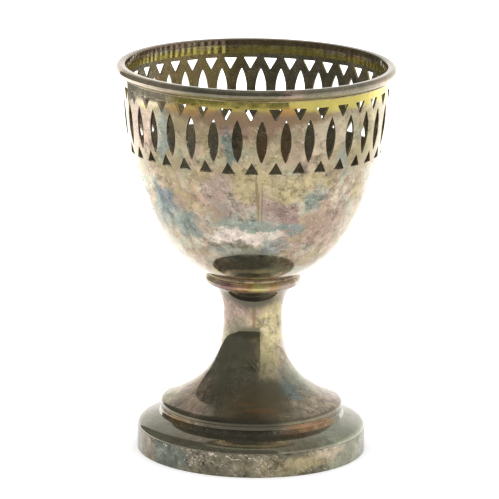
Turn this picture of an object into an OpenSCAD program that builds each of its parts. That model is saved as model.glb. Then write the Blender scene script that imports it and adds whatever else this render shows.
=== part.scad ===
// Pierced silver sugar bowl on a trumpet stem and a stepped round foot.
// Millimetres, +Z up. The origin is the centre of the ring that the foot stands on, and -Y is the front.

/* [Overall] */
// Height of the whole bowl, foot to rim
total_h = 120; // [118:0.5:124]
// Thickness of the spun sheet of the bowl, stem and foot
sheet_t = 0.8; // [0.6:0.1:0.9]

/* [Bowl] */
// Outside diameter of the straight upper wall
bowl_d = 81; // [80:0.2:82.4]
// Diameter of the flat that the bowl is soldered by
bowl_flat_d = 20; // [16:1:22]
// How full the belly is: diameter that its curve pulls towards
bowl_belly_d = 62.4; // [58:0.4:66]

/* [Piercing] */
// Number of upright slots round the bowl
slot_count = 37; // [30:1:39]
// Height of a slot
slot_h = 13.3; // [11:0.1:13.4]
// Width of a slot at its middle
slot_w = 3.25; // [2.6:0.05:3.4]
// Height of the row of slots' middle above the foot
slot_mid_z = 104.15; // [103.5:0.05:104.5]
// Width of a triangle at its flat end
tri_w = 4; // [3:0.1:4.2]
// Height of a triangle
tri_h = 3.6; // [3:0.1:3.8]
// Angle of the first slot from the front
slot_start = 2.45; // [0:0.05:9]
// How far the hand-set spacing drifts from even, in degrees
slot_drift = 4.6; // [0:0.1:5]

/* [Rim] */
// Outside diameter of the rim wire
rim_d = 85.2; // [84.8:0.2:87]
// Height of the rim wire
rim_h = 3.5; // [3.4:0.1:4]
// Radius of the bead along the top of the rim wire
rim_bead_r = 1.4; // [1.2:0.1:1.5]

/* [Collar] */
// Diameter of the round-edged knop between bowl and stem
collar_d = 29.6; // [28:0.2:32]
// Thickness of the knop under the bowl's flat
collar_t = 2.3; // [2:0.1:2.6]
// Height of the bowl's flat above the foot
collar_top_z = 54.3; // [53.5:0.1:55]

/* [Stem] */
// Diameter of the stem at its waist
waist_d = 18.2; // [17:0.1:20]
// Height of the waist above the foot
waist_z = 42.5; // [40:0.5:43]
// Diameter of the stem where it meets the knop
stem_top_d = 25.8; // [24:0.2:26]

/* [Foot] */
// Outside diameter of the foot
foot_d = 70; // [68:0.5:72]
// Height of the upright band round the foot
foot_band_h = 7.3; // [6.5:0.1:7.5]
// Thickness of that band
foot_band_t = 1.2; // [1.1:0.1:1.6]
// Outside diameter of the step above it
step_d = 55.8; // [54:0.2:57]
// Height of the step's foot and of its top edge above the table
step_low_z = 11.2; // [11:0.1:11.5]
// Height of the seam between the step ring and the stem's skirt
step_seam_z = 13.9; // [13.5:0.1:14]

/* [Hidden] */

$fn = 96;
bowl_r = bowl_d / 2;
rim_r = rim_d / 2;
collar_r = collar_d / 2;
stem_top_r = stem_top_d / 2;
collar_low_z = collar_top_z - collar_t;
foot_r = foot_d / 2;
step_r = step_d / 2;

// Where the rim wire starts, and how far the sheet runs up inside it
rim_low_z = total_h - rim_h;
bowl_top_z = total_h - 1.9;
rim_lip_r = 0.45;

// Tips of the triangles reach this far past the points of the slots
tri_lap = 0.3;
// The two rows of triangles were marked out by eye: degrees that they sit from the middle of the bars
high_tri_turn = 0.4;
low_tri_turn = 1.2;

// The knop's rounded edge stands this far above the bowl's flat, against the bowl's underside
knop_lip = 0.7;
// Small solder fillets stand this far out from a corner
fillet = 0.6;
// Spigots that locate one piece in the next are this long
spigot = 0.9;
// Sharp turned edges are eased by this much
ease = 0.3;
// The foot plate's edge turns down this far inside the foot band
turn_down = 2;
// How far the step ring reaches in under the stem's skirt
ring_w = 2.6;

silver = [0.72, 0.69, 0.62];
dark_silver = [0.48, 0.45, 0.38];
gold_tarnish = [0.66, 0.6, 0.4];
solder_grey = [0.6, 0.6, 0.58];

// A cubic curve p has four control points [radius, height]
function at(p, t) =
  pow(1 - t, 3) * p[0] + 3 * pow(1 - t, 2) * t * p[1] + 3 * (1 - t) * t * t * p[2] + pow(t, 3) * p[3];
function along(p, t) =
  pow(1 - t, 2) * (p[1] - p[0]) + 2 * (1 - t) * t * (p[2] - p[1]) + t * t * (p[3] - p[2]);
// The same curve moved in by the sheet's thickness
function inside(p, t, w) = at(p, t) + w * [along(p, t)[1], -along(p, t)[0]] / norm(along(p, t));
function outer_line(p, n) = [for (i = [0:n]) at(p, i / n)];
function inner_line(p, n, w) = [for (i = [n:-1:0]) inside(p, i / n, w)];
function arc(c, r, from, to, n) =
  [for (i = [0:n]) c + r * [cos(from + (to - from) * i / n), sin(from + (to - from) * i / n)]];

bowl_curve = [
  [bowl_r, bowl_top_z - 1.6], [bowl_r - 0.1, 90], [bowl_belly_d / 2, 59.3], [bowl_flat_d / 2, collar_top_z]
];
neck_curve = [
  [stem_top_r, collar_low_z], [stem_top_r - 2.5, collar_low_z - 1.8],
  [waist_d / 2, waist_z + 4.5], [waist_d / 2, waist_z]
];
flare_curve = [
  [waist_d / 2, waist_z], [waist_d / 2, waist_z - 8], [waist_d / 2 + 0.15, 22.8], [step_r - 1.5, 16.1]
];
shoulder_curve = [
  [step_r - 1.5, 16.1], [step_r - 0.5, 15.7], [step_r, 15.2], [step_r, 14.5]
];
plate_curve = [
  [step_r + 0.5, step_low_z], [step_r + 3.1, step_low_z - 1], [foot_r - 0.1, foot_band_h + 2.3],
  [foot_r, foot_band_h]
];
// Radius and centre of the knop's rounded edge
knop_r = (collar_t + knop_lip) / 2;
knop_c = [collar_r - knop_r, collar_low_z + knop_r];
// Inside radii of the foot plate's hole, of the step ring that stands on it and of the foot band
plate_hole_r = step_r - 3.4;
ring_in_r = step_r - ring_w;
band_bore_r = foot_r - foot_band_t;
// Cutters for the piercing start this far inside the wall and are this long
pierce_back = 8;
pierce_len = 12;

// Solid of the bowl's outside, for seats that fit it
module bowl_outside() {
  rotate_extrude()
    polygon(concat([[0, bowl_top_z], [bowl_r, bowl_top_z]], outer_line(bowl_curve, 22), [[0, collar_top_z]]));
}

module bowl_shell() {
  rotate_extrude()
    polygon(concat(
      [[bowl_r, bowl_top_z]],
      outer_line(bowl_curve, 22),
      [[0, collar_top_z], [0, collar_top_z + sheet_t]],
      inner_line(bowl_curve, 22, sheet_t),
      [[bowl_r - sheet_t, bowl_top_z]]
    ));
}

// Angle of the slot number k from the front; whole numbers are slots and halves are triangles
function turn(k) = slot_start + 360 * k / slot_count;
function pierce_angle(k) = turn(k) + slot_drift * sin(turn(k));

// Cutter that pierces the wall at an angle, from an outline drawn as x across and y up
module pierce(angle) {
  rotate([0, 0, angle])
    rotate([90, 0, 0])
      translate([0, 0, bowl_r - pierce_back])
        linear_extrude(height = pierce_len)
          children();
}

// Upright slot with two curved sides that meet at points
module slot_outline() {
  side_r = (pow(slot_h, 2) + pow(slot_w, 2)) / (4 * slot_w);
  translate([0, slot_mid_z])
    intersection() {
      translate([side_r - slot_w / 2, 0])
        circle(r = side_r);
      translate([slot_w / 2 - side_r, 0])
        circle(r = side_r);
    }
}

// Triangle above (up = 1) or below (up = -1) the points of the slots, its tip towards them
module triangle_outline(up) {
  tip_z = slot_mid_z + up * (slot_h / 2 - tri_lap);
  polygon([[0, tip_z], [tri_w / 2, tip_z + up * tri_h], [-tri_w / 2, tip_z + up * tri_h]]);
}

module bowl() {
  color(silver)
    difference() {
      bowl_shell();
      for (k = [0:slot_count - 1]) {
        pierce(pierce_angle(k))
          slot_outline();
        pierce(pierce_angle(k + 0.5) + high_tri_turn)
          triangle_outline(1);
        pierce(pierce_angle(k + 0.5) + low_tri_turn)
          triangle_outline(-1);
      }
    }
}

// Half-round wire with a cove under it, rebated to sit over the bowl's edge
module rim_wire() {
  bore = bowl_r - sheet_t;
  bead_c = [rim_r - rim_bead_r, total_h - rim_bead_r];
  lip_c = [bore + rim_lip_r, total_h - 0.1 - rim_lip_r];
  color(dark_silver)
    rotate_extrude()
      polygon(concat(
        [[bore, bowl_top_z]],
        arc(lip_c, rim_lip_r, 180, 100, 4),
        arc(bead_c, rim_bead_r, 90, -60, 10),
        [[bowl_r + 0.5, rim_low_z + 0.3], [bowl_r, rim_low_z], [bowl_r, bowl_top_z]]
      ));
}

// Turned knop with a round edge and a dished top that the bowl sits in; a tapered boss centres it in the stem
module collar() {
  boss_r = stem_top_r - sheet_t - 0.4;
  color(gold_tarnish)
    difference() {
      rotate_extrude()
        polygon(concat(
          [[0, collar_low_z - spigot], [boss_r - 1.1, collar_low_z - spigot], [boss_r, collar_low_z]],
          arc(knop_c, knop_r, -90, 90, 15),
          [[0, knop_c[1] + knop_r]]
        ));
      bowl_outside();
    }
}

// Spun trumpet: neck, waist, flare and turned-down skirt
module stem() {
  color(silver)
    rotate_extrude()
      polygon(concat(
        outer_line(neck_curve, 10),
        [for (i = [1:20]) at(flare_curve, i / 20)],
        [for (i = [1:6]) at(shoulder_curve, i / 6)],
        [[step_r, step_seam_z], [step_r - sheet_t, step_seam_z]],
        inner_line(shoulder_curve, 6, sheet_t),
        [for (i = [19:-1:0]) inside(flare_curve, i / 20, sheet_t)],
        [for (i = [9:-1:1]) inside(neck_curve, i / 10, sheet_t)],
        [[stem_top_r - sheet_t, collar_low_z]]
      ));
}

// Ring with a hollow side, between the stem's skirt and the foot plate
module step_ring() {
  tongue_r = step_r - sheet_t;
  color(dark_silver)
    rotate_extrude()
      polygon([
        [ring_in_r, step_low_z], [step_r + 0.5, step_low_z], [step_r + 0.2, step_low_z + 0.7],
        [step_r - 0.15, step_low_z + 1.5], [step_r, step_seam_z], [tongue_r, step_seam_z],
        [tongue_r, step_seam_z + spigot], [ring_in_r, step_seam_z + spigot]
      ]);
}

// Rounded lower plate, with its edge turned down inside the foot band
module foot_plate() {
  edge_r = band_bore_r;
  color(silver)
    rotate_extrude()
      polygon(concat(
        [[plate_hole_r, step_low_z]],
        outer_line(plate_curve, 10),
        [[edge_r, foot_band_h], [edge_r, foot_band_h - turn_down]],
        [[edge_r - sheet_t, foot_band_h - turn_down], [edge_r - sheet_t, foot_band_h + 0.4]],
        [for (i = [7:-1:0]) inside(plate_curve, i / 10, sheet_t)],
        [[plate_hole_r, step_low_z - sheet_t]]
      ));
}

// Upright band that the bowl stands on
module foot_band() {
  color(gold_tarnish)
    rotate_extrude()
      polygon([
        [band_bore_r, 0], [foot_r - ease, 0], [foot_r, ease], [foot_r, foot_band_h], [band_bore_r, foot_band_h]
      ]);
}

// Solder fillet under the rim wire
module solder_rim() {
  color(solder_grey)
    rotate_extrude()
      polygon([[bowl_r, rim_low_z], [bowl_r + 0.4, rim_low_z + 0.24], [bowl_r, rim_low_z - 0.3]]);
}

// Solder that fills the wedge between the knop's rounded edge and the bowl's underside
module solder_bowl() {
  wedge_top = knop_c[1] + knop_r + fillet;
  color(solder_grey)
    difference() {
      rotate_extrude()
        polygon(concat(
          [[knop_c[0] - fillet, wedge_top], [knop_c[0] - fillet, knop_c[1] + knop_r]],
          arc(knop_c, knop_r, 90, 66, 2),
          [[knop_c[0] + fillet, wedge_top]]
        ));
      bowl_outside();
    }
}

// Solder fillet under the knop, round the top of the stem
module solder_stem() {
  color(solder_grey)
    rotate_extrude()
      polygon([
        [stem_top_r, collar_low_z], [stem_top_r + fillet, collar_low_z], at(neck_curve, 0.1)
      ]);
}

// Solder fillet inside the step ring, on top of the foot plate
module solder_step() {
  color(solder_grey)
    rotate_extrude()
      polygon([[ring_in_r - fillet, step_low_z], [ring_in_r, step_low_z], [ring_in_r, step_low_z + fillet]]);
}

// Solder fillet inside the foot, between the plate's turned edge and the band
module solder_foot() {
  edge_z = foot_band_h - turn_down;
  color(solder_grey)
    rotate_extrude()
      polygon([[band_bore_r, edge_z], [band_bore_r - fillet, edge_z], [band_bore_r, edge_z - fillet]]);
}

bowl();
rim_wire();
collar();
stem();
step_ring();
foot_plate();
foot_band();
solder_rim();
solder_bowl();
solder_stem();
solder_step();
solder_foot();
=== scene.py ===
"""Looks for the pierced silver sugar bowl. Every piece is a finer mesh of the CAD node that it stands for.

The pieces are drawn in millimetres and built in metres. The stage is in metres. +Z is up, -Y is the front,
and angles round the bowl run from the front towards +X.
"""

import math
import random

import bpy
import numpy as np
from mathutils import Matrix, Vector
from mathutils.geometry import delaunay_2d_cdt


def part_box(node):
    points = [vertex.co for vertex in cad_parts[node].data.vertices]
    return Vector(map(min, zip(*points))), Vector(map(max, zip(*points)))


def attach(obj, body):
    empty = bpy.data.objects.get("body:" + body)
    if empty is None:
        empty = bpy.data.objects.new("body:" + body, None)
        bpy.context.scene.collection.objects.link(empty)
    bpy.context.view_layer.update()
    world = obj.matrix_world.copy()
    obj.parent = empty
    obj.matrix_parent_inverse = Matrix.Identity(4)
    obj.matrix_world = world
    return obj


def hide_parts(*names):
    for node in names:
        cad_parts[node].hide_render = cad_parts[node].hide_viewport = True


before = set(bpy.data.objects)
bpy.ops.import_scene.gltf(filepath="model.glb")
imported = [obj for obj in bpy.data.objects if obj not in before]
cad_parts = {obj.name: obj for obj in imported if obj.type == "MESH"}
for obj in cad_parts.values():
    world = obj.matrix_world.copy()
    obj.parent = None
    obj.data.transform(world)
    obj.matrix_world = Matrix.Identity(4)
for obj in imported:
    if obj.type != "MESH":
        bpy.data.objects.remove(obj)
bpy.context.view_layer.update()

MM = 0.001
SEED = 11

# ---------------------------------------------------------------- sizes from the frame


def node_size(node):
    """(outside radius, lowest z, highest z) of a CAD node, in millimetres."""
    low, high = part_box(node)
    return min(-low.x, -low.y, high.x, high.y) / MM, low.z / MM, high.z / MM


BOWL_R, BOWL_LOW, BOWL_TOP = node_size("bowl")
RIM_R, RIM_LOW, RIM_TOP = node_size("rim_wire")
COLLAR_R = node_size("collar")[0]
COLLAR_LOW = node_size("stem")[2]
COLLAR_TOP = BOWL_LOW
STEP_R, SEAM_Z = node_size("stem")[:2]
STEP_LOW = node_size("step_ring")[1]
FOOT_R, FOOT_LOW, BAND_TOP = node_size("foot_band")

# Sizes that the nodes' boxes don't give, the same as the CAD's
SHEET = 0.8
SPIGOT = 0.9
FILLET = 0.6
STRAIGHT_Z = BOWL_TOP - 1.6
BELLY_R = 31.2
FLAT_R = 10.0
WAIST_R = 9.1
WAIST_Z = 42.5
STEM_TOP_R = 12.9
SHOULDER_R = STEP_R - 1.5
SHOULDER_Z = 16.1
SKIRT_Z = 14.5
BEAD_R = 1.4
LIP_R = 0.45
KNOP_EDGE_R = 1.5
BAND_BORE_R = FOOT_R - 1.2
TURN_DOWN = 2.0
RING_IN_R = STEP_R - 2.6
# Some touching faces are drawn this far apart, so that they never share a place
GAP = 0.02

# The same curves that the CAD is drawn with: four control points [radius, height] each
BOWL_CURVE = [(BOWL_R, STRAIGHT_Z), (BOWL_R - 0.1, 90), (BELLY_R, 59.3), (FLAT_R, BOWL_LOW)]
NECK_CURVE = [
    (STEM_TOP_R, COLLAR_LOW), (STEM_TOP_R - 2.5, COLLAR_LOW - 1.8), (WAIST_R, WAIST_Z + 4.5),
    (WAIST_R, WAIST_Z)
]
FLARE_CURVE = [
    (WAIST_R, WAIST_Z), (WAIST_R, WAIST_Z - 8), (WAIST_R + 0.15, 22.8), (SHOULDER_R, SHOULDER_Z)
]
SHOULDER_CURVE = [(SHOULDER_R, SHOULDER_Z), (STEP_R - 0.5, 15.7), (STEP_R, 15.2), (STEP_R, SKIRT_Z)]
PLATE_CURVE = [
    (STEP_R + 0.5, STEP_LOW), (STEP_R + 3.1, STEP_LOW - 1), (FOOT_R - 0.1, BAND_TOP + 2.3),
    (FOOT_R, BAND_TOP)
]

SLOTS = 37
SLOT_H = 13.3
SLOT_W = 3.25
SLOT_Z = 104.15
TRI_W = 4.0
TRI_H = 3.6
TRI_LAP = 0.3
HIGH_TRI_TURN = 0.4
LOW_TRI_TURN = 1.2
SLOT_START = 2.45
SLOT_DRIFT = 4.6
TIP_R = 0.12
PIERCED_LOW = SLOT_Z - SLOT_H / 2 - TRI_H - 1.2
PIERCED_TOP = SLOT_Z + SLOT_H / 2 + TRI_H + 1.1
EDGE_R = 0.13

COLUMNS = SLOTS * 8

# ---------------------------------------------------------------- outlines
# An outline is a list of stations (radius, height, normal radius, normal height). It runs down the
# outside, in along the bottom, up the inside and out along the top, so the metal is on its right.


def bezier(curve, steps, inset=0.0, back=False, start=0.0, end=1.0):
    """Stations along a cubic curve, or along its inner face, which runs the other way."""
    p = [np.array(q, float) for q in curve]
    stations = []
    for i in range(steps + 1):
        t = start + (end - start) * i / steps
        s = 1 - t
        at = s ** 3 * p[0] + 3 * s * s * t * p[1] + 3 * s * t * t * p[2] + t ** 3 * p[3]
        along = s * s * (p[1] - p[0]) + 2 * s * t * (p[2] - p[1]) + t * t * (p[3] - p[2])
        normal = np.array([-along[1], along[0]]) / np.linalg.norm(along)
        at = at - inset * normal
        if back:
            normal = -normal
        stations.append((at[0], at[1], normal[0], normal[1]))
    return stations[::-1] if back else stations


def rotated(vector, angle):
    """A flat vector turned anticlockwise by an angle in radians."""
    c, s = math.cos(angle), math.sin(angle)
    return np.array([c * vector[0] - s * vector[1], s * vector[0] + c * vector[1]])


def polyline(corners, closed=False):
    """Stations along straight lines whose corners (radius, height, fillet) are rounded."""
    count = len(corners)
    points = [np.array(c[:2], float) for c in corners]
    stations = []
    for i in range(count):
        if not closed and i in (0, count - 1):
            j = 0 if i == 0 else count - 2
            way = points[j + 1] - points[j]
            way = way / np.linalg.norm(way)
            stations.append((points[i][0], points[i][1], -way[1], way[0]))
            continue
        before = points[i] - points[i - 1]
        after = points[(i + 1) % count] - points[i]
        before = before / np.linalg.norm(before)
        after = after / np.linalg.norm(after)
        turn = math.atan2(before[0] * after[1] - before[1] * after[0], before @ after)
        radius = max(corners[i][2], 0.01)
        steps = max(2, int(abs(turn) / math.radians(15)))
        side = -1.0 if turn < 0 else 1.0
        normal = np.array([-before[1], before[0]])
        centre = points[i] - before * radius * math.tan(abs(turn) / 2) + side * normal * radius
        for k in range(steps + 1):
            a = turn * k / steps
            n = rotated(normal, a)
            at = centre - side * n * radius
            stations.append((at[0], at[1], n[0], n[1]))
    return stations


def arc(centre, radius, start, end, steps):
    """Stations along a round outside corner, angles in degrees, turning clockwise."""
    stations = []
    for i in range(steps + 1):
        a = math.radians(start + (end - start) * i / steps)
        nr, nz = math.cos(a), math.sin(a)
        stations.append((centre[0] + radius * nr, centre[1] + radius * nz, nr, nz))
    return stations


def refine(stations, longest=1.5):
    """The same outline with no straight stretch longer than this, and no doubled station."""
    fine = [stations[0]]
    for b in stations[1:]:
        a = fine[-1]
        gap = math.hypot(b[0] - a[0], b[1] - a[1])
        if gap < 1e-5:
            continue
        parts = max(1, int(math.ceil(gap / longest)))
        for k in range(1, parts + 1):
            f = k / parts
            fine.append(tuple(x + (y - x) * f for x, y in zip(a, b)))
    return fine


# ---------------------------------------------------------------- meshes


def build(name, verts, normals, faces, materials, face_material=None):
    """A smooth piece in metres with its exact normals. Its verts are given in millimetres."""
    mesh = bpy.data.meshes.new(name)
    mesh.from_pydata([tuple(v * MM for v in p) for p in verts], [], faces)
    mesh.validate()
    mesh.update()
    for material in materials:
        mesh.materials.append(material)
    if face_material is not None:
        mesh.polygons.foreach_set("material_index", face_material)
    mesh.polygons.foreach_set("use_smooth", [True] * len(mesh.polygons))
    mesh.normals_split_custom_set_from_vertices([tuple(n) for n in normals])
    piece = bpy.data.objects.new(name, mesh)
    bpy.context.scene.collection.objects.link(piece)
    return piece


def lathe(name, stations, material, closed=True, wobble=0.0):
    """Turns an outline round the axis. An open outline begins and ends on the axis."""
    rng = random.Random(SEED + len(name))
    phases = [rng.uniform(0, 2 * math.pi) for _ in range(6)]
    verts, normals, faces, rings = [], [], [], []
    for index, (r, z, nr, nz) in enumerate(stations):
        if r < 1e-4:
            rings.append([len(verts)] * COLUMNS)
            verts.append((0, 0, z))
            normals.append((0, 0, 1 if nz > 0 else -1))
            continue
        ring = []
        for c in range(COLUMNS):
            a = 2 * math.pi * c / COLUMNS
            lump = sum(math.sin((5 + 3 * k) * a + phases[k] + 0.7 * index) for k in range(6)) / 6
            rr = r + wobble * lump * nr
            zz = z + wobble * lump * nz
            ring.append(len(verts))
            verts.append((rr * math.sin(a), -rr * math.cos(a), zz))
            normals.append((nr * math.sin(a), -nr * math.cos(a), nz))
        rings.append(ring)
    pairs = list(zip(range(len(rings) - 1), range(1, len(rings))))
    if closed:
        pairs.append((len(rings) - 1, 0))
    for i, j in pairs:
        for c in range(COLUMNS):
            d = (c + 1) % COLUMNS
            face = tuple(dict.fromkeys((rings[i][c], rings[j][c], rings[j][d], rings[i][d])))
            if len(face) > 2:
                faces.append(face)
    return build(name, verts, normals, faces, [material])


# ---------------------------------------------------------------- the pierced bowl


def face_lookup(stations):
    """Radius and normal of a bowl face at any height in the pierced band."""
    table = np.array(sorted(stations, key=lambda s: s[1]))
    return lambda z: [float(np.interp(z, table[:, 1], table[:, k])) for k in (0, 2, 3)]


def slot_outline():
    """Points (across, up, normal across, normal up) round a slot with slightly eased points."""
    side_r = (SLOT_H ** 2 + SLOT_W ** 2) / (4 * SLOT_W)
    offset = side_r - SLOT_W / 2
    tip_z = math.sqrt((side_r - TIP_R) ** 2 - offset ** 2)
    lean = math.atan2(tip_z, offset)
    points = []
    for turn in (0, math.pi):
        for i in range(13):
            a = -lean + 2 * lean * i / 12
            p = np.array([side_r * math.cos(a) - offset, side_r * math.sin(a)])
            n = np.array([math.cos(a), math.sin(a)])
            points.append((p, n, turn))
        for i in range(1, 4):
            a = lean + (math.pi - 2 * lean) * i / 4
            n = np.array([math.cos(a), math.sin(a)])
            p = np.array([0, tip_z]) + TIP_R * n
            points.append((p, n, turn))
    return [(*rotated(p, turn), *rotated(n, turn)) for p, n, turn in points]


def triangle_outline(up):
    """Points round a triangle whose tip points at the slots, with slightly eased corners."""
    tip = up * (SLOT_H / 2 - TRI_LAP)
    far = tip + up * TRI_H
    corners = [np.array(p, float) for p in ((0, tip), (up * TRI_W / 2, far), (-up * TRI_W / 2, far))]
    outline = []
    for i in range(3):
        before = corners[i] - corners[i - 1]
        after = corners[(i + 1) % 3] - corners[i]
        length = np.linalg.norm(after)
        before = before / np.linalg.norm(before)
        after = after / length
        turn = math.atan2(before[0] * after[1] - before[1] * after[0], before @ after)
        first = np.array([before[1], -before[0]])
        cut = TIP_R * math.tan(turn / 2)
        centre = corners[i] - before * cut - first * TIP_R
        for k in range(4):
            a = turn * k / 3
            n = rotated(first, a)
            p = centre + TIP_R * n
            outline.append((p[0], p[1], n[0], n[1]))
        last = outline[-1]
        for k in range(1, 4):
            p = corners[i] + after * (cut + (length - 2 * cut - 0.5) * k / 4 + 0.1)
            outline.append((p[0], p[1], last[2], last[3]))
    return outline


def holes():
    """Every hole of the piercing: (angle from the front, outline), with the small errors of hand work."""
    rng = random.Random(SEED)
    found = []
    for k in range(SLOTS):
        kinds = (
            (0, 0, slot_outline()), (0.5, HIGH_TRI_TURN, triangle_outline(1)),
            (0.5, LOW_TRI_TURN, triangle_outline(-1))
        )
        for half, extra, outline in kinds:
            turn = SLOT_START + 360 * (k + half) / SLOTS
            angle = math.radians(turn + SLOT_DRIFT * math.sin(math.radians(turn)) + extra)
            lean = math.radians(rng.uniform(-1.1, 1.1))
            shift = (rng.uniform(-0.07, 0.07), rng.uniform(-0.1, 0.1))
            mid = sum(p[1] for p in outline) / len(outline)
            moved = []
            for x, z, nx, nz in outline:
                xx, zz = rotated((x, z - mid), lean)
                moved.append((xx + shift[0], zz + mid + SLOT_Z + shift[1], *rotated((nx, nz), lean)))
            found.append((angle, moved))
    return found


def flatten(angle, z):
    """A point of the pierced band laid out flat as a ring, where the band has no seam."""
    ring_r = 40
    rho = ring_r + (z - PIERCED_LOW)
    return Vector((rho * math.cos(angle), rho * math.sin(angle)))


def pierced_layout(pierced):
    """Triangles of the pierced band, from one net of points that both faces of the sheet share.

    A point on a hole's edge is (hole, distance across, height), and any other is (None, angle, height).
    """
    outer = face_lookup(OUTER_BAND)
    points, flat, loops = [], [], []
    levels, hole_reach, clearance = 19, 3.2, EDGE_R + 0.25
    rows = [PIERCED_LOW + (PIERCED_TOP - PIERCED_LOW) * i / levels for i in range(levels + 1)]
    columns = [2 * math.pi * c / COLUMNS for c in range(COLUMNS)]
    for z in (rows[0], rows[-1]):
        loops.append(list(range(len(points), len(points) + COLUMNS)))
        points += [(None, a, z) for a in columns]
    for index, (angle, outline) in enumerate(pierced):
        loops.append(list(range(len(points), len(points) + len(outline))))
        points += [(index, x + nx * EDGE_R, z + nz * EDGE_R) for x, z, nx, nz in outline]
    packed = [(angle, np.array(outline)) for angle, outline in pierced]
    for number, z in enumerate(rows[1:-1]):
        r = outer(z)[0]
        for a in columns:
            a = a + (number % 2) * math.pi / COLUMNS
            clear = True
            for angle, o in packed:
                away = (a - angle + math.pi) % (2 * math.pi) - math.pi
                x = away * r
                if abs(x) > hole_reach:
                    continue
                if ((x - o[:, 0]) * o[:, 2] + (z - o[:, 1]) * o[:, 3]).max() < clearance:
                    clear = False
                    break
            if clear:
                points.append((None, a, z))
    for hole, x, z in points:
        a = x if hole is None else pierced[hole][0] + math.asin(x / outer(z)[0])
        flat.append(flatten(a, z))
    edges = [(loop[i - 1], loop[i]) for loop in loops for i in range(len(loop))]
    result = delaunay_2d_cdt(flat, edges, [], 0, 1e-6)
    if len(result[0]) != len(points):
        raise ValueError("the pierced band's net has crossing lines")
    home = {}
    for number, loop in enumerate(loops):
        for v in loop:
            home[v] = number
    kept = []
    for face in result[2]:
        own = [home.get(result[3][v][0]) for v in face]
        if own[0] is not None and own[0] == own[1] == own[2] and own[0] != 1:
            continue
        kept.append(tuple(result[3][v][0] for v in face))
    return points, loops, kept


def bowl_mesh(name, materials):
    """The bowl: outer and inner faces, joined through every hole by a wall with rounded edges."""
    outer, inner = face_lookup(OUTER_BAND), face_lookup(INNER_BAND)
    pierced = holes()
    points, loops, triangles = pierced_layout(pierced)
    verts, normals, faces, inside = [], [], [], []

    def add(point, normal):
        verts.append(point)
        normals.append(normal)
        return len(verts) - 1

    def on_face(face, hole, x, z, sink=0.0):
        r, nr, nz = face(z)
        a = x if hole is None else pierced[hole][0] + math.asin(x / r)
        r, z = r - sink * nr, z - sink * nz
        return (r * math.sin(a), -r * math.cos(a), z), (nr * math.sin(a), -nr * math.cos(a), nz)

    sheets = [[add(*on_face(face, *p)) for p in points] for face in (outer, inner)]
    for side, sheet in enumerate(sheets):
        for t in triangles:
            face = tuple(sheet[v] for v in t)
            a, b, c = (Vector(verts[v]) for v in face)
            out = (b - a).cross(c - a).dot(Vector(normals[face[0]]))
            faces.append(face if out > 0 else face[::-1])
            inside.append(side)

    half = math.sqrt(0.5)
    for index, (angle, outline) in enumerate(pierced):
        loop = loops[index + 2]
        rings = [[sheets[0][v] for v in loop]]
        # Through the sheet: (face, share of the edge's round across and down, lean of the normal to the face)
        steps = [
            (outer, 1 - half, 1 - half, half), (outer, 0.0, 1.0, 0.0), (inner, 0.0, 1.0, 0.0),
            (inner, 1 - half, 1 - half, half)
        ]
        for face, grow, sink, lift in steps:
            ring = []
            for x, z, nx, nz in outline:
                x, z = x + nx * EDGE_R * grow, z + nz * EDGE_R * grow
                at, up = on_face(face, index, x, z, sink * EDGE_R)
                wall = np.array([-nx * math.cos(angle), -nx * math.sin(angle), -nz])
                n = wall * math.sqrt(1 - lift * lift) + np.array(up) * lift
                ring.append(add(at, tuple(n / np.linalg.norm(n))))
            rings.append(ring)
        rings.append([sheets[1][v] for v in loop])
        for level, (p, q) in enumerate(zip(rings, rings[1:])):
            for i in range(len(p)):
                faces.append((p[i - 1], p[i], q[i], q[i - 1]))
                inside.append(1 if level > 2 else 0)

    def turned(stations, first, last, side):
        """Rings of the plain part of the bowl, between two rings that exist already."""
        rings = [first]
        for r, z, nr, nz in stations:
            ring = []
            for c in range(COLUMNS):
                a = 2 * math.pi * c / COLUMNS
                if r < 1e-4 and ring:
                    ring.append(ring[0])
                else:
                    normal = (nr * math.sin(a), -nr * math.cos(a), nz)
                    ring.append(add((r * math.sin(a), -r * math.cos(a), z), normal))
            rings.append(ring)
        if last:
            rings.append(last)
        for p, q in zip(rings, rings[1:]):
            for c in range(COLUMNS):
                d = (c + 1) % COLUMNS
                face = tuple(dict.fromkeys((p[c], q[c], q[d], p[d])))
                if len(face) > 2:
                    faces.append(face)
                    inside.append(side)
        return rings[-1]

    low = [sheets[0][v] for v in loops[0]], [sheets[1][v] for v in loops[0]]
    top = [sheets[0][v] for v in loops[1]], [sheets[1][v] for v in loops[1]]
    turned(OUTER_LOW[1:] + [(0, BOWL_LOW, 0, -1)], low[0], None, 0)
    turned([(0, BOWL_LOW + SHEET, 0, 1)] + INNER_LOW[:-1], [len(verts)] * COLUMNS, low[1], 1)
    turned(INNER_TOP[1:] + OUTER_TOP[:-1], top[1], top[0], 0)
    return build(name, verts, normals, faces, materials, inside)


WHOLE_OUTER = bezier(BOWL_CURVE, 90)
WHOLE_INNER = bezier(BOWL_CURVE, 90, SHEET, back=True)


def crossing(stations, z):
    """The station of a bowl face at one height."""
    r, nr, nz = face_lookup(stations)(z)
    return (r, z, nr, nz)


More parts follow.
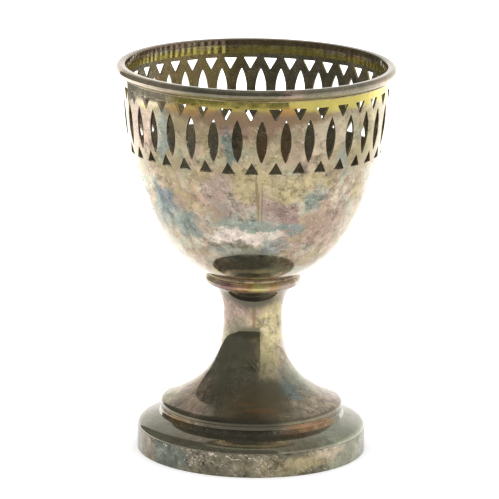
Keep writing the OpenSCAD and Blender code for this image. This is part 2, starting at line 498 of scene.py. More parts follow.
OUTER_BAND = [(BOWL_R, BOWL_TOP, 1, 0)] + WHOLE_OUTER
INNER_BAND = [(BOWL_R - SHEET, BOWL_TOP, -1, 0)] + WHOLE_INNER
OUTER_LOW = [crossing(OUTER_BAND, PIERCED_LOW)] + [s for s in WHOLE_OUTER if s[1] < PIERCED_LOW - 0.2]
INNER_LOW = [s for s in WHOLE_INNER if s[1] < PIERCED_LOW - 0.2] + [crossing(INNER_BAND, PIERCED_LOW)]
INNER_TOP = [crossing(INNER_BAND, PIERCED_TOP), crossing(INNER_BAND, PIERCED_TOP + 1)]
OUTER_TOP = polyline([
    (BOWL_R - SHEET, PIERCED_TOP + 1.2, 0), (BOWL_R - SHEET, BOWL_TOP, 0.1), (BOWL_R, BOWL_TOP, 0.1),
    (BOWL_R, PIERCED_TOP + 1.2, 0)
]) + [crossing(OUTER_BAND, PIERCED_TOP + 1), crossing(OUTER_BAND, PIERCED_TOP)]


# ---------------------------------------------------------------- materials


class Graph:
    """Short names for the shader nodes that the metal is made from."""

    def __init__(self, name):
        self.material = bpy.data.materials.new(name)
        self.material.use_nodes = True
        self.tree = self.material.node_tree
        self.tree.nodes.clear()
        self.shader = self.add("ShaderNodeBsdfPrincipled")
        output = self.add("ShaderNodeOutputMaterial")
        self.tree.links.new(self.shader.outputs["BSDF"], output.inputs["Surface"])
        coordinates = self.add("ShaderNodeTexCoord")
        scale = self.add("ShaderNodeVectorMath", operation="SCALE")
        scale.inputs["Scale"].default_value = 1 / MM
        self.tree.links.new(coordinates.outputs["Object"], scale.inputs[0])
        self.place = scale.outputs["Vector"]

    def add(self, kind, **settings):
        node = self.tree.nodes.new(kind)
        for key, value in settings.items():
            setattr(node, key, value)
        return node

    def plug(self, socket, value):
        if hasattr(value, "is_linked") or isinstance(value, bpy.types.NodeSocket):
            self.tree.links.new(value, socket)
        elif isinstance(value, (tuple, list)) and len(value) == 3 and socket.type == "RGBA":
            socket.default_value = (*value, 1)
        else:
            socket.default_value = value

    def math(self, operation, a, b=0.0, c=0.0, clamp=False):
        node = self.add("ShaderNodeMath", operation=operation, use_clamp=clamp)
        for socket, value in zip(node.inputs, (a, b, c)):
            self.plug(socket, value)
        return node.outputs[0]

    def shift(self, vector, offset):
        node = self.add("ShaderNodeVectorMath", operation="ADD")
        self.plug(node.inputs[0], vector)
        node.inputs[1].default_value = offset
        return node.outputs[0]

    def scaled(self, vector, factors):
        node = self.add("ShaderNodeVectorMath", operation="MULTIPLY")
        self.plug(node.inputs[0], vector)
        node.inputs[1].default_value = factors
        return node.outputs[0]

    def noise(self, size, detail, rough, offset, where=None, output="Fac"):
        """Cloudy value about 0.5, with features this many millimetres across."""
        node = self.add("ShaderNodeTexNoise")
        self.plug(node.inputs["Vector"], self.shift(where or self.place, offset))
        node.inputs["Scale"].default_value = 1 / size
        node.inputs["Detail"].default_value = detail
        node.inputs["Roughness"].default_value = rough
        return node.outputs[output]

    def wander(self, size, reach, offset):
        """The place, moved about by up to this many millimetres so that edges drawn with it are feathery."""
        wobble = self.shift(self.noise(size, 5.0, 0.6, offset, output="Color"), (-0.5, -0.5, -0.5))
        node = self.add("ShaderNodeVectorMath", operation="MULTIPLY_ADD")
        self.plug(node.inputs[0], wobble)
        node.inputs[1].default_value = (reach, reach, reach)
        self.plug(node.inputs[2], self.place)
        return node.outputs[0]

    def step(self, value, low, high, to_low=0.0, to_high=1.0):
        node = self.add("ShaderNodeMapRange", interpolation_type="SMOOTHSTEP")
        self.plug(node.inputs["Value"], value)
        for key, number in (("From Min", low), ("From Max", high), ("To Min", to_low), ("To Max", to_high)):
            node.inputs[key].default_value = number
        return node.outputs["Result"]

    def ramp(self, value, stops):
        node = self.add("ShaderNodeValToRGB")
        self.plug(node.inputs["Fac"], value)
        ramp = node.color_ramp
        while len(ramp.elements) < len(stops):
            ramp.elements.new(0.5)
        for element, (where, colour) in zip(ramp.elements, stops):
            element.position = where
            element.color = (*colour, 1)
        return node.outputs["Color"]

    def mix(self, amount, a, b, blend="MIX"):
        node = self.add("ShaderNodeMix", data_type="RGBA", blend_type=blend)
        self.plug(node.inputs["Factor"], amount)
        self.plug(node.inputs[6], a)
        self.plug(node.inputs[7], b)
        return node.outputs[2]

    def patch(self, where, centre, radius, amount, squash):
        """Mask of a stain, or of a painted reflection, round a point of the surface."""
        away = self.scaled(self.shift(where, tuple(-c for c in centre)), squash)
        length = self.add("ShaderNodeVectorMath", operation="LENGTH")
        self.plug(length.inputs[0], away)
        return self.math("MULTIPLY", self.step(length.outputs["Value"], radius * 1.35, radius * 0.65), amount)


# Linear reflectances of silver plate, from worn and bright to thickly tarnished. Some also serve as painted
# reflections: MOSS, UMBER, SMOKE and SOOT dark where the dim room or the foot is mirrored, PALE and SAGE
# lighter on the right of the stem's flare.
PALE = (0.45, 0.37, 0.27)
ROSE = (0.34, 0.245, 0.185)
STRAW = (0.36, 0.30, 0.165)
OLIVE = (0.20, 0.185, 0.085)
BROWN = (0.19, 0.13, 0.075)
TEAL = (0.205, 0.245, 0.215)
BLUE = (0.15, 0.18, 0.19)
AMBER = (0.36, 0.185, 0.06)
MAUVE = (0.25, 0.175, 0.16)
SOOT = (0.075, 0.065, 0.045)
GOLD = (0.47, 0.41, 0.125)
LEMON = (0.50, 0.445, 0.24)
OCHRE = (0.45, 0.375, 0.09)
BRIGHT = (0.62, 0.53, 0.46)
SAGE = (0.35, 0.36, 0.265)
DUN = (0.24, 0.205, 0.15)
UMBER = (0.15, 0.135, 0.09)
SMOKE = (0.115, 0.103, 0.078)
MOSS = (0.205, 0.195, 0.13)
KHAKI = (0.255, 0.22, 0.12)
DEEP = (0.12, 0.145, 0.125)
RUST = (0.27, 0.155, 0.08)
PLUM = (0.25, 0.13, 0.12)


# Heights of the metal's dents, ripple and fine grain, in millimetres
DENT_H = 0.05
RIPPLE_H = 0.005
GRAIN_H = 0.0012


def at(angle, radius, z):
    """Where a stain or a painted reflection is, by its angle from the front towards +X in degrees. The sizes
    are millimetres.
    """
    a = math.radians(angle)
    return (radius * math.sin(a), -radius * math.cos(a), z)


def tarnish(name, film, stains_and_painted_reflections=(), lines=(), hazes=(), size=12.0, offset=(0, 0, 0), grain=0.5,
            rough=(0.05, 0.2), dull=0.0, metal=0.86):
    """Silver plate under a mottled tarnish film: cloudy colour, stained patches, wear, specks, scratches and
    dents.

    A patch or a line is (centre, radius, tint, amount, squash). Patches lie under the grain and lines over
    it. Most are tarnish, but on the bowl's underside, the stem and the step ring some are painted
    reflections: dark where the dim room or the foot would be mirrored, lighter on the right of the flare.
    A haze is (centre, radius, added roughness, squash). A larger squash makes it narrower along that axis.
    """
    g = Graph(name)
    ox, oy, oz = offset
    feathery = g.wander(5.0, 11.0, offset)
    colour = g.ramp(g.noise(size, 5.0, 0.6, (ox, oy, oz), where=feathery), film)
    # Patches under the grain: tarnish, and on some pieces painted reflections
    for centre, radius, tint, amount, squash in stains_and_painted_reflections:
        colour = g.mix(g.patch(feathery, centre, radius, amount, squash), colour, tint)

    crumpled = g.wander(2.2, 3.5, (ox + 3, oy, oz))
    mottle = g.noise(3.0, 6.0, 0.68, (ox, oy + 17, oz), where=crumpled)
    fine = g.noise(0.55, 3.0, 0.6, (ox, oy, oz + 9))
    shade = g.math("MULTIPLY", g.step(mottle, 0.3, 0.7, 1 - 0.65 * grain, 1 + 0.75 * grain),
                   g.step(fine, 0.3, 0.7, 1 - 0.2 * grain, 1 + 0.2 * grain))
    busy = g.step(g.noise(9.0, 2.0, 0.5, (ox, oy, oz + 60)), 0.42, 0.58, 0.4, 1.25)
    shade = g.math("MULTIPLY_ADD", g.math("SUBTRACT", shade, 1.0), busy, 1.0)
    folds = g.noise(4.5, 3.0, 0.55, (ox + 70, oy, oz), where=crumpled)
    crease = g.math("ABSOLUTE", g.math("SUBTRACT", folds, 0.5))
    creased = g.math("MULTIPLY", g.step(crease, 0.022, 0.004), g.step(mottle, 0.52, 0.44))
    shade = g.math("MULTIPLY", shade, g.math("SUBTRACT", 1.0, g.math("MULTIPLY", creased, 0.85 * grain)))
    grey = g.add("ShaderNodeCombineColor")
    for socket in grey.inputs[:3]:
        g.plug(socket, shade)
    colour = g.mix(1.0, colour, grey.outputs[0], "MULTIPLY")
    scratches = ((0.7, PALE, 0.57, 0.64), (-0.9, BROWN, 0.62, 0.70), (1.3, BRIGHT, 0.61, 0.67))
    for turn, tint, low, high in scratches:
        node = g.add("ShaderNodeVectorRotate", rotation_type="Y_AXIS")
        g.plug(node.inputs["Vector"], crumpled)
        node.inputs["Angle"].default_value = turn
        along = g.scaled(node.outputs[0], (1, 1, 0.1))
        line = g.step(g.noise(0.6, 2.0, 0.5, (ox + 40 * turn, oy, oz), where=along), low, high)
        here = g.step(g.noise(9.0, 2.0, 0.5, (ox, oy + 30 * turn, oz)), 0.46, 0.58)
        drawn = g.math("MULTIPLY", g.math("MULTIPLY", line, here), 1.2 * grain, clamp=True)
        colour = g.mix(drawn, colour, tint)
    worn = g.math("MULTIPLY", g.step(mottle, 0.58, 0.66), g.step(crease, 0.03, 0.012))
    colour = g.mix(g.math("MULTIPLY", worn, 1.4 * grain, clamp=True), colour, PALE)
    pits = g.math("MULTIPLY", g.step(fine, 0.34, 0.29), g.step(mottle, 0.44, 0.36))
    colour = g.mix(g.math("MULTIPLY", pits, 1.2 * grain, clamp=True), colour, SOOT)
    for centre, radius, tint, amount, squash in lines:
        colour = g.mix(g.patch(g.wander(3.0, 0.8, offset), centre, radius, amount, squash), colour, tint)
    g.plug(g.shader.inputs["Base Color"], colour)
    g.shader.inputs["Metallic"].default_value = metal
    haze = g.math("ADD", g.step(mottle, 0.4, 0.75, rough[0], rough[1]), g.step(fine, 0.55, 0.8, 0, 0.1))
    for centre, radius, amount, squash in hazes:
        haze = g.math("ADD", haze, g.patch(feathery, centre, radius, amount, squash))
    g.plug(g.shader.inputs["Roughness"], g.math("ADD", haze, dull))

    dents = g.noise(11.0, 2.0, 0.5, (ox + 5, oy, oz))
    ripple = g.noise(2.6, 2.0, 0.5, (ox, oy + 3, oz))
    height = g.math("MULTIPLY_ADD", dents, DENT_H, g.math("MULTIPLY", ripple, RIPPLE_H))
    height = g.math("MULTIPLY_ADD", fine, GRAIN_H, height)
    bump = g.add("ShaderNodeBump")
    bump.inputs["Strength"].default_value = 1.0
    bump.inputs["Distance"].default_value = MM
    g.plug(bump.inputs["Height"], height)
    g.plug(g.shader.inputs["Normal"], bump.outputs["Normal"])
    return g.material


# Common squashes of a stain or a painted reflection along x, y and z
ROUND = (1, 1, 1)
FLAT = (0.4, 0.6, 1.6)
TALL = (2.2, 1, 0.5)
THIN = (8, 1, 0.5)
FINE = (14, 1, 0.6)
HOOP = (0, 0, 1)
STREAK = (0.25, 0.5, 1)

silver_bowl = tarnish("silver_bowl_outside", [(0.40, SAGE), (0.47, PALE), (0.53, ROSE), (0.60, STRAW)], [
    (at(0, 0, 104), 12, KHAKI, 0.62, HOOP),
    (at(0, 40, 111.5), 16, BROWN, 1.0, (0.8, 0.8, 5)),
    (at(0, 40, 108), 14, BROWN, 0.35, (0.6, 0.6, 3)),
    (at(20, 40, 100), 5, ROSE, 0.6, ROUND),
    (at(-49, 35, 83), 5, BLUE, 0.9, ROUND),
    (at(-38, 32, 76), 5, TEAL, 0.9, ROUND),
    (at(-50, 33.5, 78.5), 4, TEAL, 0.7, ROUND),
    (at(-56, 33, 76), 5, TEAL, 0.6, ROUND),
    (at(-27, 37, 90), 5, AMBER, 0.35, ROUND),
    (at(-14, 36, 86), 8, MAUVE, 0.6, ROUND),
    (at(-2, 37, 91), 6, STRAW, 0.8, ROUND),
    (at(11, 36, 84), 7, MAUVE, 0.7, ROUND),
    (at(16, 37, 89), 5, STRAW, 1.0, (0.7, 1, 1.2)),
    (at(32, 36, 84), 3.5, TEAL, 0.6, TALL),
    (at(44, 35, 85), 4, BRIGHT, 0.5, ROUND),
    (at(41, 32, 76), 8, ROSE, 0.9, ROUND),
    (at(19, 33, 77), 4, MAUVE, 0.9, ROUND),
    (at(-8, 33, 78), 4, TEAL, 0.8, FLAT),
    (at(15, 32, 76), 3, TEAL, 0.9, FLAT),
    (at(30, 36, 85), 2.5, DEEP, 0.6, ROUND),
    (at(12, 29.5, 69.5), 4, BLUE, 0.6, ROUND),
    (at(-8, 28, 68), 4, TEAL, 0.7, FLAT),
    (at(-12, 40, 102), 4, DEEP, 0.9, TALL),
    (at(-44, 40, 103), 4.5, TEAL, 0.8, TALL),
    (at(-58, 40, 104), 8, ROSE, 0.8, ROUND),
    (at(-27, 40, 104), 4, ROSE, 0.7, TALL),
    (at(-2, 40, 110), 5, PLUM, 0.35, (0.4, 0.5, 1.3)),
    (at(2, 40, 107), 4, BROWN, 0.5, ROUND),
    (at(33, 40, 105), 6, PALE, 0.6, ROUND),
    (at(42, 40, 98), 4, TEAL, 0.6, TALL),
    (at(0, 0, 115), 2.6, GOLD, 0.85, HOOP),
    (at(-8, 40, 113.6), 2.5, AMBER, 0.6, FLAT),
    (at(11, 40, 113.6), 2.5, AMBER, 0.6, FLAT),
    # painted reflection: this dark MOSS patch on the bowl's underside stands in for the mirrored dark foot
    (at(0, 22, 61), 9, MOSS, 0.85, ROUND),
    (at(110, 36, 84), 7, MAUVE, 0.8, ROUND),
    (at(148, 35, 80), 5, TEAL, 0.9, ROUND),
    (at(182, 37, 89), 8, STRAW, 0.9, ROUND),
    (at(170, 31, 72), 6, ROSE, 0.9, ROUND),
    (at(218, 33, 77), 6, BLUE, 0.7, ROUND),
    (at(252, 36, 87), 7, MAUVE, 0.8, ROUND),
    (at(80, 32, 75), 6, TEAL, 0.8, ROUND),
    (at(200, 40, 104), 5, DEEP, 0.6, TALL),
    (at(130, 40, 106), 6, ROSE, 0.6, ROUND),
    (at(-10, 31, 73.2), 2.5, BRIGHT, 1.0, STREAK),
    (at(6, 31, 74.5), 1.5, BRIGHT, 0.8, STREAK),
    (at(-9, 30, 70.2), 1.6, UMBER, 0.7, STREAK),
], [
    (at(0, 0, 114.9), 2.1, OCHRE, 0.75, HOOP),
    (at(-2, 40, 111.4), 16, BROWN, 0.85, (0.6, 0.6, 7)),
    (at(12, 40, 113.4), 3, AMBER, 0.6, (0.6, 0.6, 2)),
    (at(-30, 40, 113), 5, AMBER, 0.5, (0.6, 0.6, 3)),
    (at(-60, 40, 115.5), 15, BRIGHT, 0.7, (1, 1, 4)),
    (at(1.9, 37, 88), 6, STRAW, 0.6, THIN),
    (at(0.6, 37, 91), 3.4, BROWN, 0.7, FINE),
    (at(1.2, 37, 87), 3.4, BROWN, 0.7, FINE),
    (at(1.9, 36, 83), 3.4, BROWN, 0.7, FINE),
    (at(3.4, 37, 84), 4.5, BROWN, 0.6, FINE),
], size=8.0)
silver_bowl_inside = tarnish("silver_bowl_inside", [(0.4, MOSS), (0.5, DUN), (0.6, MOSS)], [
    (at(-150, 40, 108), 16, AMBER, 0.35, ROUND),
    (at(-155, 40, 110), 16, GOLD, 0.3, ROUND),
    (at(180, 38, 96), 14, UMBER, 0.6, ROUND),
    (at(170, 37, 86), 7, RUST, 0.6, ROUND),
], offset=(40, 0, 0), grain=0.35, dull=0.12, metal=0.8)
silver_rim = tarnish("silver_rim", [(0.40, MOSS), (0.48, DUN), (0.54, MOSS), (0.60, DUN)], [
    (at(-62, 42, 118), 20, PALE, 0.9, ROUND),
    (at(75, 42, 118), 16, PALE, 0.6, ROUND),
    (at(180, 42, 118), 38, BROWN, 0.7, ROUND),
    (at(-120, 42, 118), 22, ROSE, 0.6, ROUND),
    (at(-5, 42, 118), 16, UMBER, 0.6, ROUND),
    (at(15, 42, 118), 4, ROSE, 0.8, ROUND),
], offset=(80, 0, 0), size=8.0, grain=0.22, rough=(0.06, 0.16))
silver_collar = tarnish("silver_collar", [(0.42, BRIGHT), (0.5, PALE), (0.57, STRAW)], [
    (at(-42, 14, 53), 4, MAUVE, 0.8, ROUND),
    (at(-28, 14, 52), 2.5, PLUM, 0.8, ROUND),
    (at(-9, 14, 53), 4, AMBER, 0.8, ROUND),
    (at(10, 14, 53), 3, GOLD, 0.8, ROUND),
    (at(31, 14, 53), 2.2, AMBER, 0.7, ROUND),
    (at(50, 14, 52), 3, MAUVE, 0.6, ROUND),
], offset=(0, 50, 0), size=6.0, grain=0.25, rough=(0.15, 0.3), metal=0.6)
silver_stem = tarnish("silver_stem", [(0.40, OLIVE), (0.47, STRAW), (0.54, ROSE), (0.62, DUN)], [
    (at(-30, 9, 46), 8, ROSE, 0.4, ROUND),
    (at(-40, 9, 45), 6, MAUVE, 0.6, ROUND),
    (at(30, 9, 46), 7, STRAW, 1.0, TALL),
    (at(30, 11, 33), 8, STRAW, 0.95, TALL),
    (at(22, 12, 31), 7, LEMON, 0.6, TALL),
    (at(-36, 13, 32), 8, MOSS, 0.9, (1, 1, 0.8)),
    (at(55, 15, 25), 5, TEAL, 0.8, ROUND),
    # painted reflection: this PALE patch and the SAGE one two lines down lighten the right of the flare,
    # partly tarnish colour and partly a painted brighter reflection
    (at(47, 21, 20), 12, PALE, 0.8, ROUND),
    (at(42, 17.5, 21.5), 4, TEAL, 1.0, ROUND),
    (at(72, 16, 24), 6, SAGE, 0.9, ROUND),
    (at(-50, 24, 17), 8, ROSE, 0.7, ROUND),
    (at(-58, 27.5, 15), 5, UMBER, 0.6, ROUND),
    # painted reflection: these two dark UMBER patches low on the front of the flare deepen the dim room's
    # reflection there
    (at(-6, 23, 16), 12, UMBER, 0.95, (1, 0.5, 1)),
    (at(16, 19, 20), 6, UMBER, 0.9, ROUND),
    (at(4, 14, 24), 2, BLUE, 0.5, ROUND),
    (at(0, 0, 51.5), 2.6, UMBER, 0.7, HOOP),
], [
    (at(2, 9, 44), 5, BROWN, 0.7, (9, 1, 0.8)),
    (at(0, 0, 14.6), 1.0, UMBER, 0.8, HOOP),
    # painted reflection: this dark SMOKE crescent on the front of the neck under the collar stands in for the
    # dark reflection of the collar's shaded underside
    (at(0, 11, 49.2), 7.5, SMOKE, 0.95, (1.05, 0.5, 2.3)),
    (at(-34, 13, 32), 7, MOSS, 0.6, (1, 1, 0.6)),
    # painted reflection: these two UMBER marks draw the ragged top of the dim room's dark reflection on the
    # front of the stem
    (at(-6, 9.1, 38.2), 3.2, UMBER, 0.9, (0.8, 0.7, 1.7)),
    (at(-38, 9.2, 37.4), 1.3, UMBER, 0.8, (0.7, 0.7, 1.6)),
    # painted reflection: these UMBER patches deepen the dim room's reflection low on the front of the flare
    (at(31, 25, 16.8), 3.5, UMBER, 0.7, ROUND),
    (at(-5, 23, 17), 12, UMBER, 0.7, (1, 0.5, 1.3)),
    (at(15, 19, 20), 6, UMBER, 0.7, (1, 0.7, 1)),
    (at(20, 16, 21.5), 4, UMBER, 0.7, (1, 0.7, 1.3)),
    (at(6, 25, 17.6), 5, RUST, 0.5, (1, 0.5, 9)),
    (at(-4, 25, 19), 4, RUST, 0.4, (1, 0.5, 9)),
    # painted reflection: a dark SOOT band across the front of the skirt, deepening the dim room's reflection
    (at(-6, 28, 14.4), 13, SOOT, 0.9, (1, 0.3, 7)),
], [
    (at(0, 22, 18), 12, 0.3, (1, 0.5, 1.4)),
], offset=(0, 90, 20), size=8.0, rough=(0.02, 0.10), grain=0.55)
silver_step = tarnish("silver_step", [(0.42, SMOKE), (0.5, UMBER), (0.58, OLIVE)], [
    # painted reflection: this dark SMOKE patch over the front of the step ring stands in for the dim room's
    # reflection
    (at(-4, 28, 12), 16, SMOKE, 1.0, ROUND),
    (at(42, 28, 12), 9, RUST, 0.8, ROUND),
    (at(-58, 28, 12), 9, RUST, 0.5, ROUND),
], [
    # painted reflection: a dark SOOT band along the front of the step ring, the dim room's reflection
    (at(-6, 28, 13.6), 13, SOOT, 0.85, (1, 0.3, 8)),
], offset=(0, 20, 60), size=6.0, grain=0.35)
silver_foot = tarnish("silver_foot", [(0.40, MOSS), (0.5, DUN), (0.60, MOSS)], [
    (at(-62, 32, 10), 9, SAGE, 0.4, ROUND),
    (at(62, 33, 9), 13, SAGE, 0.9, ROUND),
], offset=(60, 60, 0), size=10.0, rough=(0.03, 0.14), grain=0.25)
silver_band = tarnish("silver_foot_band", [(0.40, SMOKE), (0.47, UMBER), (0.53, SMOKE), (0.6, UMBER)], [
    (at(-66, 35, 4), 7, DUN, 0.7, ROUND),
    (at(-46, 35, 4), 7, DEEP, 0.7, ROUND),
    (at(14, 35, 3), 5, STRAW, 0.3, FLAT),
    (at(32, 35, 4), 4, STRAW, 0.7, FLAT),
    (at(58, 35, 4), 11, SAGE, 0.6, ROUND),
    (at(44, 35, 6), 3, PALE, 0.8, FLAT),
], offset=(0, 60, 60), grain=0.6, size=6.0)
solder = tarnish("grey_solder", [(0.40, STRAW), (0.60, BROWN)], offset=(7, 7, 7), dull=0.25, metal=0.7)

# ---------------------------------------------------------------- pieces


def finish_piece(piece, node):
    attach(piece, "root")
    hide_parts(node)


def make_bowl():
    finish_piece(bowl_mesh("pierced_bowl", [silver_bowl, silver_bowl_inside]), "bowl")


def make_rim():
    bore = BOWL_R - SHEET
    bead = (RIM_R - BEAD_R, RIM_TOP - BEAD_R)
    lip = (bore + LIP_R, RIM_TOP - 0.1 - LIP_R)
    cove_start = -62
    outline = arc(lip, LIP_R, 180, 96, 7)
    outline += arc(bead, BEAD_R, 90, cove_start, 22)
    outline += polyline([
        (*outline[-1][:2], 0),
        (BOWL_R + 0.5, RIM_LOW + 0.35, 0.12), (BOWL_R + GAP, RIM_LOW, 0.05), (BOWL_R + GAP, BOWL_TOP, 0.03),
        (bore, BOWL_TOP, 0.08), (bore, lip[1], 0)
    ])[1:-1]
    finish_piece(lathe("rim_bead", refine(outline, 0.8), silver_rim), "rim_wire")


def make_collar():
    boss_r = STEM_TOP_R - SHEET - 0.4
    centre = (COLLAR_R - KNOP_EDGE_R, COLLAR_LOW + KNOP_EDGE_R)
    dish_start = 0.962
    outline = [(0, COLLAR_TOP - GAP, 0, 1)] + bezier(BOWL_CURVE, 8, -GAP, back=True, start=dish_start)
    outline += arc(centre, KNOP_EDGE_R, 90, -90, 24)
    outline += polyline([
        (centre[0], COLLAR_LOW, 0), (boss_r, COLLAR_LOW, 0.1), (boss_r - 1.1, COLLAR_LOW - SPIGOT, 0.1),
        (0, COLLAR_LOW - SPIGOT, 0)
    ])[1:]
    knop = lathe("collar_knop", refine(outline), silver_collar, closed=False)
    finish_piece(knop, "collar")


def make_stem():
    outline = bezier(NECK_CURVE, 18) + bezier(FLARE_CURVE, 46)[1:] + bezier(SHOULDER_CURVE, 10)[1:]
    outline += polyline([
        (STEP_R, SKIRT_Z, 0), (STEP_R, SEAM_Z, 0.1), (STEP_R - SHEET, SEAM_Z, 0.05),
        (STEP_R - SHEET, SKIRT_Z, 0)
    ])[1:]
    outline += bezier(SHOULDER_CURVE, 10, SHEET, back=True)[1:]
    outline += bezier(FLARE_CURVE, 46, SHEET, back=True)[1:]
    outline += bezier(NECK_CURVE, 18, SHEET, back=True, start=0.12)[1:]
    finish_piece(lathe("trumpet_stem", refine(outline), silver_stem), "stem")


def make_step_ring():
    tongue_r = STEP_R - SHEET
    outline = polyline([
        (STEP_R, SEAM_Z, 0.1), (STEP_R - 0.15, STEP_LOW + 1.5, 1.2), (STEP_R + 0.2, STEP_LOW + 0.7, 0.8),
        (STEP_R + 0.5, STEP_LOW, 0.08), (RING_IN_R, STEP_LOW, 0.1), (RING_IN_R, SEAM_Z + SPIGOT, 0.15),
        (tongue_r, SEAM_Z + SPIGOT, 0.1), (tongue_r, SEAM_Z, 0.03)
    ], closed=True)
    finish_piece(lathe("step_moulding", refine(outline), silver_step), "step_ring")


def make_foot_plate():
    hole_r = STEP_R - 3.4
    edge_r = BAND_BORE_R
    outline = bezier(PLATE_CURVE, 24)
    outline += polyline([
        (FOOT_R, BAND_TOP + 0.05, 0), (FOOT_R, BAND_TOP, 0.03), (edge_r, BAND_TOP, 0.03),
        (edge_r, BAND_TOP - TURN_DOWN, 0.1), (edge_r - SHEET, BAND_TOP - TURN_DOWN, 0.1),
        (edge_r - SHEET, BAND_TOP + 0.4, 0.3), (edge_r - SHEET - 0.3, BAND_TOP + 1.0, 0)
    ])[1:-1]
    outline += bezier(PLATE_CURVE, 18, SHEET, back=True, end=0.7)
    outline += polyline([
        (STEP_R, STEP_LOW - SHEET, 0), (hole_r, STEP_LOW - SHEET, 0.2), (hole_r, STEP_LOW, 0.2),
        (STEP_R, STEP_LOW, 0)
    ])[1:]
    finish_piece(lathe("foot_dome", refine(outline), silver_foot), "foot_plate")


def make_foot_band():
    outline = polyline([
        (FOOT_R, BAND_TOP, 0.1), (FOOT_R, FOOT_LOW, 0.3), (BAND_BORE_R, FOOT_LOW, 0.15),
        (BAND_BORE_R, BAND_TOP, 0.08)
    ], closed=True)
    finish_piece(lathe("foot_ring", refine(outline), silver_band), "foot_band")


def make_solder():
    knop_r = COLLAR_R - KNOP_EDGE_R
    knop_top = COLLAR_LOW + 2 * KNOP_EDGE_R
    plate_low = BAND_TOP - TURN_DOWN
    rings = {
        "rim": [(BOWL_R, RIM_LOW + 0.05), (BOWL_R + 0.42, RIM_LOW + 0.22), (BOWL_R, RIM_LOW - 0.3)],
        "bowl": [
            (knop_r + 0.64, knop_top + 0.55), (knop_r + 0.58, knop_top - 0.11),
            (knop_r - 0.5, knop_top + 0.04)
        ],
        "stem": [
            (STEM_TOP_R - 0.1, COLLAR_LOW), (STEM_TOP_R + FILLET, COLLAR_LOW),
            (STEM_TOP_R - 0.5, COLLAR_LOW - 0.55)
        ],
        "step": [(RING_IN_R, STEP_LOW + FILLET), (RING_IN_R, STEP_LOW), (RING_IN_R - FILLET, STEP_LOW)],
        "foot": [
            (BAND_BORE_R, plate_low), (BAND_BORE_R, plate_low - FILLET), (BAND_BORE_R - FILLET, plate_low)
        ],
    }
    for place, corners in rings.items():
        outline = polyline([(r, z, 0.05) for r, z in corners], closed=True)
        piece = lathe("solder_fillet_" + place, outline, solder, wobble=0.03)
        finish_piece(piece, "solder_" + place)


make_bowl()
make_rim()
make_collar()
make_stem()
make_step_ring()
make_foot_plate()
make_foot_band()
make_solder()

# ---------------------------------------------------------------- floor, light and camera


# Both tables glow weakly level with the bowl and in front of it, and fully from FULL_GLOW_Y metres behind it
FRONT_GLOW = 0.2
BACK_GLOW = 1.25
FULL_GLOW_Y = 0.22
LOWER_TABLE_Z = -0.15


def white_table(name, outline, z, brightness):
    """A flat matt white surface that also glows, mostly behind the bowl."""
    mesh = bpy.data.meshes.new(name)
    mesh.from_pydata([(x, y, z) for x, y in outline], [], [tuple(range(len(outline)))])
    table = bpy.data.objects.new(name, mesh)
    bpy.context.scene.collection.objects.link(table)
    material = bpy.data.materials.new(name)
    material.use_nodes = True
    shader = material.node_tree.nodes["Principled BSDF"]
    shader.inputs["Base Color"].default_value = (brightness, brightness, brightness, 1)
    shader.inputs["Roughness"].default_value = 0.9
    shader.inputs["Specular IOR Level"].default_value = 0.0
    shader.inputs["Emission Color"].default_value = (1, 1, 1, 1)
    nodes, links = material.node_tree.nodes, material.node_tree.links
    coordinates = nodes.new("ShaderNodeTexCoord")
    toward = nodes.new("ShaderNodeVectorMath")
    toward.operation = "DOT_PRODUCT"
    toward.inputs[1].default_value = (-0.1, 1, 0)
    links.new(coordinates.outputs["Object"], toward.inputs[0])
    glow = nodes.new("ShaderNodeMapRange")
    glow.inputs["From Max"].default_value = FULL_GLOW_Y
    glow.inputs["To Min"].default_value = FRONT_GLOW
    glow.inputs["To Max"].default_value = BACK_GLOW
    links.new(toward.outputs["Value"], glow.inputs["Value"])
    links.new(glow.outputs["Result"], shader.inputs["Emission Strength"])
    mesh.materials.append(material)


def make_tables():
    """The bowl stands on a white board with a round front, above a lower and larger white table."""
    side, front = 0.28, 0.19
    board = [(1.6, 2.2), (-side, 2.2)]
    for degrees in range(0, 91, 5):
        a = math.radians(degrees)
        board.append((-side * math.cos(a), -front * math.sin(a)))
    board.append((1.6, -front))
    white_table("floor", board, 0.0, 0.93)
    white_table("lower_table", [(-2, -1.1), (2, -1.1), (2, 3), (-2, 3)], LOWER_TABLE_Z, 0.8)


def make_dark_room():
    """The dim room on the camera's side, which only the polished metal shows. The camera doesn't see it."""
    radius, top = 1.1, 2.5
    first, last, steps = 28, -145, 48
    verts, faces = [], []
    for i in range(steps + 1):
        a = math.radians(first + (last - first) * i / steps)
        x, y = radius * math.sin(a), -radius * math.cos(a)
        verts += [(x, y, LOWER_TABLE_Z), (x, y, top)]
    for i in range(steps):
        faces.append((2 * i, 2 * i + 2, 2 * i + 3, 2 * i + 1))
    mesh = bpy.data.meshes.new("dark_room")
    mesh.from_pydata(verts, [], faces)
    card = bpy.data.objects.new("dark_room", mesh)
    bpy.context.scene.collection.objects.link(card)
    material = bpy.data.materials.new("dark_room")
    material.use_nodes = True
    tree = material.node_tree
    tree.nodes.clear()
    glow = tree.nodes.new("ShaderNodeEmission")
    glow.inputs["Color"].default_value = (0.165, 0.175, 0.165, 1)
    output = tree.nodes.new("ShaderNodeOutputMaterial")
    tree.links.new(glow.outputs[0], output.inputs["Surface"])
    mesh.materials.append(material)
    card.visible_camera = False
    card.visible_diffuse = False
    card.visible_shadow = False
    card.visible_transmission = False
    card.visible_volume_scatter = False


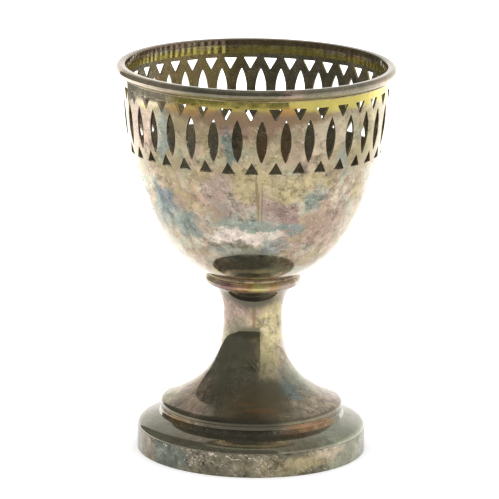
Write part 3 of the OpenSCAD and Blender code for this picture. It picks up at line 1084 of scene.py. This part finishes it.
def make_world():
    """A white studio. Mirror reflections see it brightest low behind the bowl and dimmer overhead."""
    world = bpy.data.worlds.new("white_studio")
    bpy.context.scene.world = world
    world.use_nodes = True
    tree = world.node_tree
    tree.nodes.clear()
    output = tree.nodes.new("ShaderNodeOutputWorld")
    path = tree.nodes.new("ShaderNodeLightPath")
    where = tree.nodes.new("ShaderNodeTexCoord")
    split = tree.nodes.new("ShaderNodeSeparateXYZ")
    tree.links.new(where.outputs["Generated"], split.inputs[0])
    strengths = []
    for axis, low, high, to_low, to_high in (("Y", -1, 1, 0.9, 1.5), ("Z", 0.12, 0.5, 1.0, 0.42)):
        ramp = tree.nodes.new("ShaderNodeMapRange")
        ramp.inputs["From Min"].default_value = low
        ramp.inputs["From Max"].default_value = high
        ramp.inputs["To Min"].default_value = to_low
        ramp.inputs["To Max"].default_value = to_high
        tree.links.new(split.outputs[axis], ramp.inputs["Value"])
        strengths.append(ramp.outputs["Result"])
    mirrored = tree.nodes.new("ShaderNodeMath")
    mirrored.operation = "MULTIPLY"
    for socket, strength in zip(mirrored.inputs, strengths):
        tree.links.new(strength, socket)
    diffuse_strength, camera_strength = 1.3, 1.05
    shaders = []
    for strength in (diffuse_strength, mirrored.outputs[0], camera_strength):
        background = tree.nodes.new("ShaderNodeBackground")
        background.inputs["Color"].default_value = (1, 1, 1, 1)
        if isinstance(strength, float):
            background.inputs["Strength"].default_value = strength
        else:
            tree.links.new(strength, background.inputs["Strength"])
        shaders.append(background.outputs[0])
    for ray, shader in (("Is Glossy Ray", shaders[1]), ("Is Camera Ray", shaders[2])):
        choose = tree.nodes.new("ShaderNodeMixShader")
        tree.links.new(path.outputs[ray], choose.inputs["Fac"])
        tree.links.new(shaders[0], choose.inputs[1])
        tree.links.new(shader, choose.inputs[2])
        shaders[0] = choose.outputs[0]
    tree.links.new(shaders[0], output.inputs["Surface"])


def make_camera():
    """The photographer's view: a long lens 1.3 m in front, looking down 13.6 degrees, tipped by 0.9."""
    data = bpy.data.cameras.new("camera")
    data.lens = 314.7
    data.sensor_width = 36
    data.clip_start = 0.05
    data.clip_end = 20
    camera = bpy.data.objects.new("camera", data)
    bpy.context.scene.collection.objects.link(camera)
    eye = Vector((-0.0013, -1.2931, 0.3748))
    pitch, roll = math.radians(13.59), math.radians(0.87)
    ahead = Vector((0, math.cos(pitch), -math.sin(pitch)))
    right = Vector((1, 0, 0))
    up = right.cross(ahead)
    tipped_right = right * math.cos(roll) + up * math.sin(roll)
    tipped_up = up * math.cos(roll) - right * math.sin(roll)
    turn = Matrix((tipped_right, tipped_up, -ahead)).transposed().to_4x4()
    camera.matrix_world = Matrix.Translation(eye) @ turn
    bpy.context.scene.camera = camera


make_tables()
make_dark_room()
make_world()
make_camera()
bpy.context.scene.view_settings.view_transform = "Standard"
